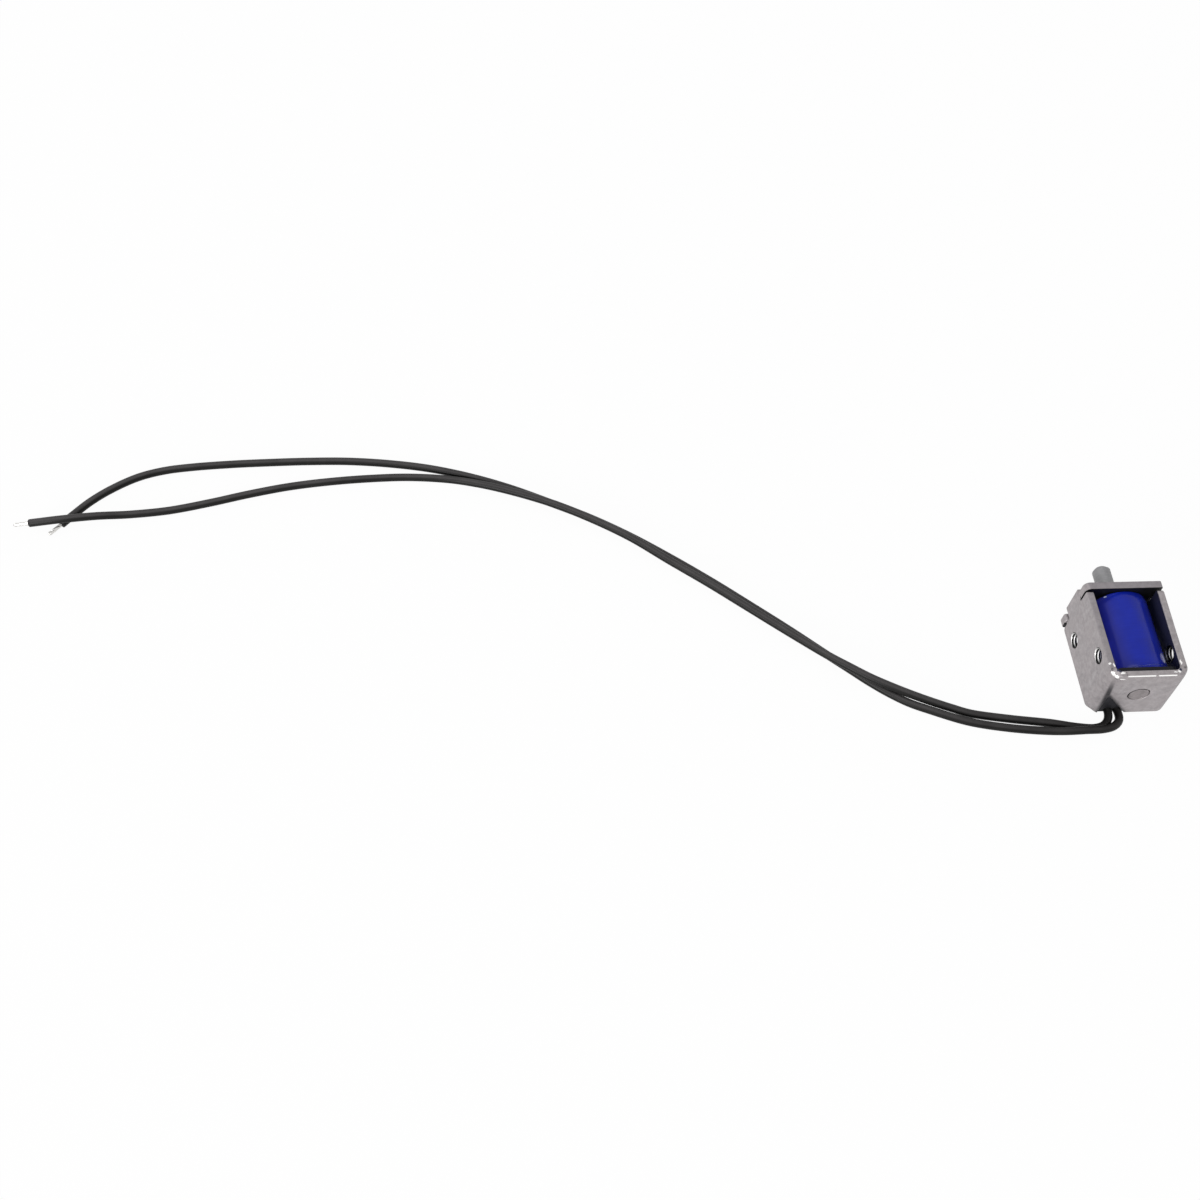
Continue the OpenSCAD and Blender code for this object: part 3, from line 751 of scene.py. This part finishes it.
def finish_sheet(made, name, place):
    """Turns a flat sheet into an object: place(x, y, z) says where each of its points goes. The sheet's two
    faces get the normals that they have in place, and the rounded edges keep their own."""
    face = max(v.co.z for v in made.verts) - 1e-4
    step = 0.01

    def facing(x, y, z):
        along = Vector(place(x + step, y, z)) - Vector(place(x - step, y, z))
        across = Vector(place(x, y + step, z)) - Vector(place(x, y - step, z))
        outward = Vector(place(x, y, 1.01 * z)) - Vector(place(x, y, 0.99 * z))
        normal = along.cross(across).normalized()
        return normal if normal.dot(outward) > 0 else -normal

    normals = [facing(*v.co) if abs(v.co.z) > face else Vector() for v in made.verts]
    for v in made.verts:
        v.co = Vector(place(*v.co)) * MM
    made.normal_update()
    bmesh.ops.recalc_face_normals(made, faces=made.faces)
    for f in made.faces:
        f.smooth = True
    mesh = bpy.data.meshes.new(name)
    made.to_mesh(mesh)
    made.free()
    mesh.normals_split_custom_set_from_vertices(normals)
    obj = bpy.data.objects.new(name, mesh)
    bpy.context.scene.collection.objects.link(obj)
    return obj


BEND_X = FRAME_W / 2 - BEND_OUT
BEND_LEN = math.pi / 2 * (BEND_R + SHEET / 2)
EDGE = 0.1
# How far a bend's outer layers are drawn in at the window, the left one's also at the table, each with the
# depth over which that fades
DRAWN, DRAWN_FADE = 0.1, 1.2
TABLE_DRAWN, TABLE_FADE = 0.25, 0.8
# At the window the innermost layer of a bend rises by SQUEEZE more than the outermost, which sinks by SUNK
SQUEEZE, SUNK, SQUEEZE_FADE = 0.42, 0.28, 0.45
# The right plate's window rim leans back in, most at its end and round the bend
RIM_LEAN, RIM_PINCH, RIM_REACH, RIM_FADE = 0.2, 0.2, 0.8, 0.3


def fade(far, depth):
    """1 at an edge, falling off with the distance from it."""
    return math.exp(-max(0.0, far) / depth)


def along_strip(at):
    """Distance along the unrolled strip, from the middle of the bottom plate, of a place on a side plate."""
    return BEND_X + BEND_LEN + at - BEND_OUT


def bent(s, z, t):
    """Where a point of the unrolled strip goes. At the window the bend squeezes the inner layers out and
    draws the outer ones in, and the right side is bent a little askew."""
    side = math.copysign(1, s)
    depth = SHEET / 2 - t
    far = abs(s)
    z = z + AXIS_Z
    x, at = far, depth
    if far > BEND_X + BEND_LEN:
        x, at = FRAME_W / 2 - depth, BEND_OUT + far - BEND_X - BEND_LEN
    elif far > BEND_X:
        angle = (far - BEND_X) / BEND_LEN * math.pi / 2
        near = math.sin(2 * angle) ** 2
        drawn = DRAWN * fade(FRAME_D - z, DRAWN_FADE)
        if s < 0:
            drawn += TABLE_DRAWN * fade(z, TABLE_FADE)
        radius = BEND_OUT - depth - near * (1 - depth / SHEET) * drawn
        z += near * fade(FRAME_D - z, SQUEEZE_FADE) * (SQUEEZE * depth / SHEET - SUNK)
        x, at = BEND_X + radius * math.sin(angle), BEND_OUT - radius * math.cos(angle)
    if s > 0:
        away = max(0.0, 1 - at / FRAME_LEN)
        pinch = RIM_LEAN * away + RIM_PINCH * math.exp(-((at - BEND_OUT) / RIM_REACH) ** 2)
        askew = away * (ASKEW - ASKEW_RISE * z) - fade(FRAME_D - z, RIM_FADE) * pinch
        x += min(1.0, x / BEND_X) * askew
    return side * x, BASE_Y + at, z


def add_frame():
    low, high = -TONGUE_W / 2, TONGUE_W / 2
    shoulder, tongue = along_strip(SHOULDER_AT), along_strip(FRAME_LEN + STAKE_H)
    # Beside the left tongue the staking has closed the joint, over this length
    closed, closed_len = along_strip(FRAME_LEN - PLATE_T - 0.01), 1.05
    tongue_r, core_gap = 0.15, 0.03
    edge = FRAME_D / 2
    steps = 8
    relief = []
    for k in range(1, steps):
        a = math.pi * k / steps
        relief.append((RELIEF_R * math.cos(a), -RELIEF_R * math.sin(a)))

    def end(side):
        """End of the strip on one side, from the table edge to the window edge."""
        pts = [(shoulder, -edge, SHOULDER_R)]
        if side > 0:
            pts += [(shoulder, low - 2 * RELIEF_R, 0)]
            pts += [(shoulder + y, low - RELIEF_R - x, 0) for x, y in reversed(relief)]
        else:
            pts += [(shoulder, low - closed_len, 0), (closed, low - closed_len + 0.1, 0), (closed, low, 0)]
        pts += [(tongue, low, tongue_r), (tongue, high, tongue_r)]
        pts += [(shoulder + y, high + RELIEF_R - x, 0) for x, y in reversed(relief)]
        pts += [(shoulder, high + 2 * RELIEF_R, 0), (shoulder, edge, SHOULDER_R)]
        return [(side * x, y, r) for x, y, r in pts]

    foot = [(NOTCH_LEFT, -edge, 0.1), (NOTCH_LEFT, NOTCH_H - edge, 0.15), (NOTCH_RIGHT, -edge, 0.25)]
    outline = rounded(foot + end(1) + list(reversed(end(-1))), 6)
    holes = [circle(0, 0, CORE_HOLE_R + core_gap)]
    for at, z in SIDE_HOLES:
        holes += [circle(side * along_strip(at), z - edge, HOLE_R) for side in (-1, 1)]
    made = sheet_mesh([outline] + holes, SHEET, EDGE)
    # Cuts in the bends, beyond the notch and short of the shoulders, and close beside the bends
    parts, beside = 16, 0.08
    cuts = [BEND_X + BEND_LEN * k / parts for k in range(parts + 1)]
    cuts += [NOTCH_RIGHT + 1.2, shoulder - 0.6, BEND_X - beside, BEND_X + BEND_LEN + beside]
    cut_sheet(made, (1, 0, 0), [side * c for side in (-1, 1) for c in cuts])
    cut_sheet(made, (0, 1, 0), (edge - 0.25, edge - 0.5, edge - 1.0))
    cut_sheet(made, (0, 0, 1), (-0.15, 0.0, 0.15))
    obj = finish_sheet(made, "frame_strip", bent)
    dress(obj, SOLENOID, LOOKS["plated_steel"], "plated_steel", "frame")


def add_end_plate():
    x, edge = FRAME_W / 2, FRAME_D / 2
    notch = SHEET + TONGUE_GAP
    half = TONGUE_W / 2 + TONGUE_GAP
    # Radii at a notch's mouth and root, and what the right end gains at the window
    mouth_r, root_r, wider = 0.1, 0.12, 0.07
    right = [
        (x, -edge, TABLE_CORNER_R), (x, -half, mouth_r), (x - notch, -half, root_r),
        (x - notch, half, root_r), (x, half, mouth_r), (x, edge, WINDOW_CORNER_R),
    ]
    left = [(-px, py, r) for px, py, r in reversed(right)]
    left[0] = (-x, edge, LEFT_CORNER_R)
    right[-2:] = [(x + wider, half, mouth_r), (x + wider, edge, WINDOW_CORNER_R)]
    # The cut for the left tongue runs on past it towards the table, where the plate stands a little proud
    nub, nub_r, proud = -half - 0.45, 0.3, 0.2
    left[3:] = [
        (-x + notch, nub, root_r), (-x - proud, nub, nub_r), (-x - proud, -edge, TABLE_CORNER_R)]
    made = sheet_mesh([rounded(right + left), circle(0, 0, PIN_HOLE_R)], PLATE_T, EDGE)
    middle = FRAME_LEN - PLATE_T / 2
    obj = finish_sheet(
        made, "end_plate_sheet", lambda px, pz, t: (px, BASE_Y + middle + t, AXIS_Z + pz))
    dress(obj, SOLENOID, LOOKS["plated_steel"], "plated_steel", "end_plate")


def add_notch_shade():
    """Near-black sheet in the lead notch round the two leads, standing in for its shade."""
    thick, edge = 0.44, 0.05
    low, high = 0.03 - FRAME_D / 2, NOTCH_H - FRAME_D / 2
    left, right = NOTCH_LEFT - 0.04, NOTCH_RIGHT + 0.05
    outline = [(left, low, 0.05), (left, high, 0.1), (right, low, 0.1)]
    made = sheet_mesh([rounded(outline)], thick, edge)
    obj = finish_sheet(made, "lead_notch_shade", bent)
    dress(obj, SOLENOID, LOOKS["notch_shade"], "bobbin_plastic")


add_frame()
add_end_plate()
add_notch_shade()


# Threads in the side plates

def add_thread(name, side, at, z, lit_share):
    """Lining of a tapped hole: a thread between two countersunk mouths."""
    pitch, depth, phase, sides, steps = 0.4, 0.2, 0.8, 64, 44
    inset, mouth_len, root_gap, wall_gap = 0.02, 0.1, 0.004, 0.002
    outer, inner = FRAME_W / 2 - inset, FRAME_W / 2 - SHEET + inset
    rings, crest_light = [], []
    for i in range(steps + 1):
        x = inner + (outer - inner) * i / steps
        mouth = min(1.0, min(x - inner, outer - x) / mouth_len)
        ring = []
        for k in range(sides):
            a = 2 * math.pi * k / sides
            turn = (x / pitch + a / (2 * math.pi) + phase) % 1.0
            crest = min(1.0, max(0.0, 1.25 - abs(2 * turn - 1) * 1.5))
            r = HOLE_R - root_gap - depth * mouth * crest
            ring.append((side * x, BASE_Y + at + r * math.cos(a), z + r * math.sin(a)))
            # Painted highlight on the crests, brightest towards one side of the hole; the last argument sets
            # how strong it is
            crest_light.append(crest * lit_share * (0.45 + 0.55 * max(0.0, math.cos(a + 1.0)) ** 2))
        rings.append(ring)
    for x in (outer, inner):
        wall = circle(BASE_Y + at, z, HOLE_R - wall_gap, sides)
        rings.append([(side * x, *point) for point in wall])
        crest_light += [0.0] * sides
    obj = rings_to_mesh(name, rings, closed=True)
    obj.data.attributes.new("crest", "FLOAT", "POINT").data.foreach_set("value", crest_light)
    dress(obj, SOLENOID, LOOKS["thread_steel"], "plated_steel")


# The right plate's threads get a weaker painted highlight
for number, (at, z) in enumerate(SIDE_HOLES, 1):
    add_thread(f"thread_left_{number}", -1, at, z, 1.0)
    add_thread(f"thread_right_{number}", 1, at, z, 0.65)


# Coil

def add_tape(name, low, high, outer, thick, slope, nodes=()):
    """One turn of tape: it ends in a lap, its edges curl down, and its lower edge climbs on the right."""
    sides, steps = 128, 56
    lap_at, low_curl, top_curl = math.radians(245), 0.05, 0.14
    rings, edges = [], []

    def climb(a):
        return slope * max(0.0, math.sin(2 * (math.pi / 2 - a))) if math.sin(a) > 0 else 0.0

    def top(a):
        return high - TAPE_DIP * max(0.0, -math.cos(a)) ** 2

    for i in range(steps + 1):
        u = 0.5 - 0.5 * math.cos(math.pi * i / steps)
        ring = []
        for k in range(sides + 2):
            turn = min(k, sides) / sides
            a = lap_at + 2 * math.pi * turn
            above = (top(a) - low) * u
            at = low + climb(a) * (1 - u) + above
            curl = low_curl * max(0.0, 1 - above / 0.3) ** 2
            curl += top_curl * max(0.0, 1 - (top(a) - at) / 1.2) ** 2
            bulge = TAPE_BULGE * max(0.0, math.cos(a - math.pi / 4)) ** 3
            r = outer + bulge - TAPE_LAP * (1 - turn) - curl
            if k == sides + 1:
                r = outer + bulge - TAPE_LAP - curl
            place = Vector((math.cos(a) * 1.1, at * 0.5, math.sin(a) * 1.1))
            r += 0.015 * noise.noise(place) + 0.006 * noise.noise(place * 3.7)
            ring.append((r * math.cos(a), BASE_Y + at, AXIS_Z + r * math.sin(a)))
            edges.append(1.0 if i == 0 else 0.0)
        rings.append(ring)
    # The inner side, from the upper edge back to the lower one
    for upper in (True, False):
        ring = []
        for k in range(sides + 2):
            a = lap_at + 2 * math.pi * min(k, sides) / sides
            at = top(a) if upper else low + climb(a)
            r = outer - thick - (0.004 if k == sides + 1 else 0.0)
            ring.append((r * math.cos(a), BASE_Y + at, AXIS_Z + r * math.sin(a)))
            edges.append(0.0 if upper else 1.0)
        rings.append(ring)
    obj = rings_to_mesh(name, rings, closed=True)
    # The edge attribute marks the lower cut edge, where the tape's material paints a highlight
    obj.data.attributes.new("edge", "FLOAT", "POINT").data.foreach_set("value", edges)
    weighted_normals(obj)
    dress(obj, SOLENOID, LOOKS["blue_tape"], "blue_tape", *nodes)


add_tape("coil_wrap", TAPE_LOW, TAPE_TOP, TAPE_R, thick=0.08, slope=0.3, nodes=("coil_tape",))
add_tape("coil_wrap_first_turn", TAPE_LOW - 0.22, TAPE_TOP - 0.1, TAPE_R - 0.085, thick=0.04, slope=0.0)


# Pin, spring and solder

def add_pin():
    low, tip = PIN_LOW, FRAME_LEN + PIN_OUT
    start, rim = tip - PIN_CHAMFER, PIN_R - PIN_CHAMFER
    profile = [(low, 0.02), (low, 0.95), (low + 0.02, 1.02), (low + 0.12, 1.09), (low + 0.16, PIN_R)]
    profile += [(low + 0.16 + (start - 0.26 - low) * k / 6, PIN_R) for k in range(1, 7)]
    profile += [(start - 0.05, PIN_R - 0.003), (start, PIN_R - 0.013), (start + 0.06, PIN_R - 0.06)]
    profile += [(tip - 0.06, rim + 0.06), (tip - 0.02, rim + 0.01), (tip - 0.003, rim - 0.05)]
    profile += [(tip, rim - 0.1), (tip, 0.3), (tip, 0.02)]
    obj = weighted_normals(lathe("lock_pin_bar", profile))
    dress(obj, ARMATURE, LOOKS["pin_steel"], "pin_steel", "lock_pin")


def add_spring():
    """Round wire with closed, ground end turns."""
    per_turn = 36
    height = SPRING_TOP - SPRING_LOW - SPRING_WIRE
    closed = 1.05 * SPRING_WIRE
    path = []
    for i in range(SPRING_TURNS * per_turn + 1):
        turn = i / per_turn
        if turn < 1:
            rise = closed * turn
        elif turn > SPRING_TURNS - 1:
            rise = height - closed * (SPRING_TURNS - turn)
        else:
            rise = closed + (height - 2 * closed) * (turn - 1) / (SPRING_TURNS - 2)
        a = 2 * math.pi * turn
        path.append(Vector((
            SPRING_R * math.cos(a), BASE_Y + SPRING_LOW + SPRING_WIRE / 2 + rise,
            AXIS_Z + SPRING_R * math.sin(a))))
    obj = tube("return_spring_wire", path, lambda i, a: SPRING_WIRE / 2, 12)
    dress(obj, SOLENOID, LOOKS["spring_steel"], "spring_steel", "return_spring")
    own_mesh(obj)


def add_solder(number, route):
    """Blob of solder on the inner end of a lead, with a drawn-out tail."""
    start = CORNER + Vector(route[0])
    inward = (Vector(route[0]) - Vector(route[1])).normalized()
    steps = 24
    path = [start + inward * (JOINT_LEN * i / steps) for i in range(steps + 1)]

    def blob(i, a):
        u = i / steps
        body = math.sin(math.pi * (0.16 + 0.8 * u)) ** 0.5
        lump = noise.noise(Vector((math.cos(a), math.sin(a), 3 * u + 10 * number)))
        return JOINT_D / 2 * (0.93 * body + 0.05 * lump)

    obj = tube(f"solder_joint_{number}_blob", path, blob, 32)
    dress(obj, SOLENOID, LOOKS["tin"], "tin", f"solder_joint_{number}")


add_pin()
add_spring()
add_solder(1, ROUTE_1)
add_solder(2, ROUTE_2)


# Rounded edges on the solids that are shown as they are

def soften(node, width):
    obj = NODES[node]
    weld = obj.modifiers.new("weld", "WELD")
    weld.merge_threshold = 1e-6
    flat = obj.modifiers.new("flat", "DECIMATE")
    flat.decimate_type = "DISSOLVE"
    flat.angle_limit = math.radians(0.5)
    bevel = obj.modifiers.new("edges", "BEVEL")
    bevel.width = width * MM
    bevel.segments = 3
    bevel.limit_method = "ANGLE"
    bevel.angle_limit = math.radians(35)
    weighted_normals(obj)


soften("bobbin", 0.06)
soften("fixed_core", 0.03)


# Floor and light

def rays(tree):
    """1 for what the camera sees, also in a mirror or through glass, and 0 for light that falls on the
    object."""
    path = tree.nodes.new("ShaderNodeLightPath")
    seen = path.outputs["Is Camera Ray"]
    for kind in ("Is Glossy Ray", "Is Transmission Ray"):
        either = tree.nodes.new("ShaderNodeMath")
        either.operation = "MAXIMUM"
        tree.links.new(seen, either.inputs[0])
        tree.links.new(path.outputs[kind], either.inputs[1])
        seen = either.outputs[0]
    return seen


def add_world():
    world = bpy.data.worlds.new("studio")
    bpy.context.scene.world = world
    world.use_nodes = True
    tree = world.node_tree
    out = tree.nodes["World Output"]
    light = tree.nodes["Background"]
    light.inputs["Color"].default_value = (1.0, 0.99, 0.985, 1)
    light.inputs["Strength"].default_value = 0.6
    white = tree.nodes.new("ShaderNodeBackground")
    white.inputs["Color"].default_value = (1, 1, 1, 1)
    white.inputs["Strength"].default_value = 1.0
    mix = tree.nodes.new("ShaderNodeMixShader")
    tree.links.new(rays(tree), mix.inputs[0])
    tree.links.new(light.outputs[0], mix.inputs[1])
    tree.links.new(white.outputs[0], mix.inputs[2])
    tree.links.new(mix.outputs[0], out.inputs["Surface"])


def add_floor():
    size, low, grey, glow_share = 3000, -0.02, 0.86, 0.96
    floor = add_mesh(
        "floor", [(-size, -size, low), (size, -size, low), (size, size, low), (-size, size, low)],
        [(0, 1, 2, 3)], smooth=False)
    material = bpy.data.materials.new("floor")
    material.use_nodes = True
    tree = material.node_tree
    tree.nodes.remove(tree.nodes["Principled BSDF"])
    out = tree.nodes["Material Output"]
    paper = tree.nodes.new("ShaderNodeBsdfDiffuse")
    paper.inputs["Color"].default_value = (grey, grey, grey, 1)
    glow = tree.nodes.new("ShaderNodeEmission")
    glow.inputs["Color"].default_value = (1, 1, 1, 1)
    glow.inputs["Strength"].default_value = 1.0
    share = tree.nodes.new("ShaderNodeMath")
    share.operation = "MULTIPLY"
    tree.links.new(rays(tree), share.inputs[0])
    share.inputs[1].default_value = glow_share
    mix = tree.nodes.new("ShaderNodeMixShader")
    tree.links.new(share.outputs[0], mix.inputs[0])
    tree.links.new(paper.outputs[0], mix.inputs[1])
    tree.links.new(glow.outputs[0], mix.inputs[2])
    tree.links.new(mix.outputs[0], out.inputs["Surface"])
    floor.data.materials.append(material)


def add_lamp(name, place, aim, size, watts):
    data = bpy.data.lights.new(name, "AREA")
    data.shape = "DISK"
    data.size = size
    data.energy = watts
    obj = bpy.data.objects.new(name, data)
    bpy.context.scene.collection.objects.link(obj)
    obj.location = place
    obj.rotation_mode = "QUATERNION"
    obj.rotation_quaternion = (Vector(aim) - Vector(place)).to_track_quat("-Z", "Y")


add_world()
add_floor()
add_lamp("key", (-0.7, -0.75, 0.3), (-0.02, 0, 0), 0.5, 8.0)
add_lamp("top", (-0.35, 0.1, 0.9), (-0.05, 0, 0), 0.6, 1.5)

bpy.context.scene.view_settings.view_transform = "Standard"
